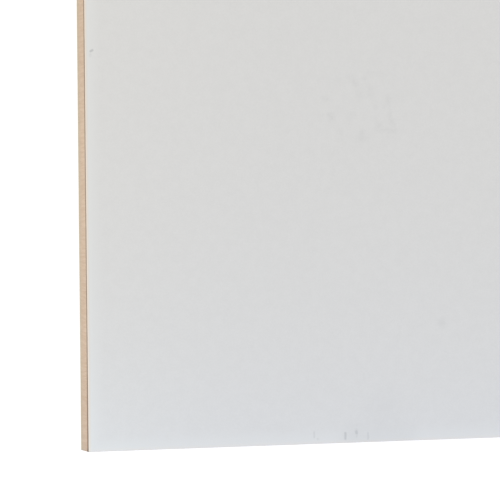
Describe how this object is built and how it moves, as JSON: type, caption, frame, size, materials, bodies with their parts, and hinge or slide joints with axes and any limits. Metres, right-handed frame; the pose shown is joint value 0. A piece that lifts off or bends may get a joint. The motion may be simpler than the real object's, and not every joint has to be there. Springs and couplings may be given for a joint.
{
  "type": "wall cladding panel",
  "caption": "Full-size flat wall cladding sheet: white decorative laminate bonded to one face of a tan fibreboard core, with square sawn edges.",
  "frame": {"origin": "centre of the panel's back face, which rests on the floor", "axes": "+X across the sheet's width, +Y along its length, +Z out of the decorative face"},
  "size_m": [1.22, 2.44, 0.01],
  "materials": {
    "core_board": "matte",
    "face_laminate": "satin"
  },
  "bodies": {
    "root": {"core_board": "core_board", "face_laminate": "face_laminate"}
  },
  "joints": []
}
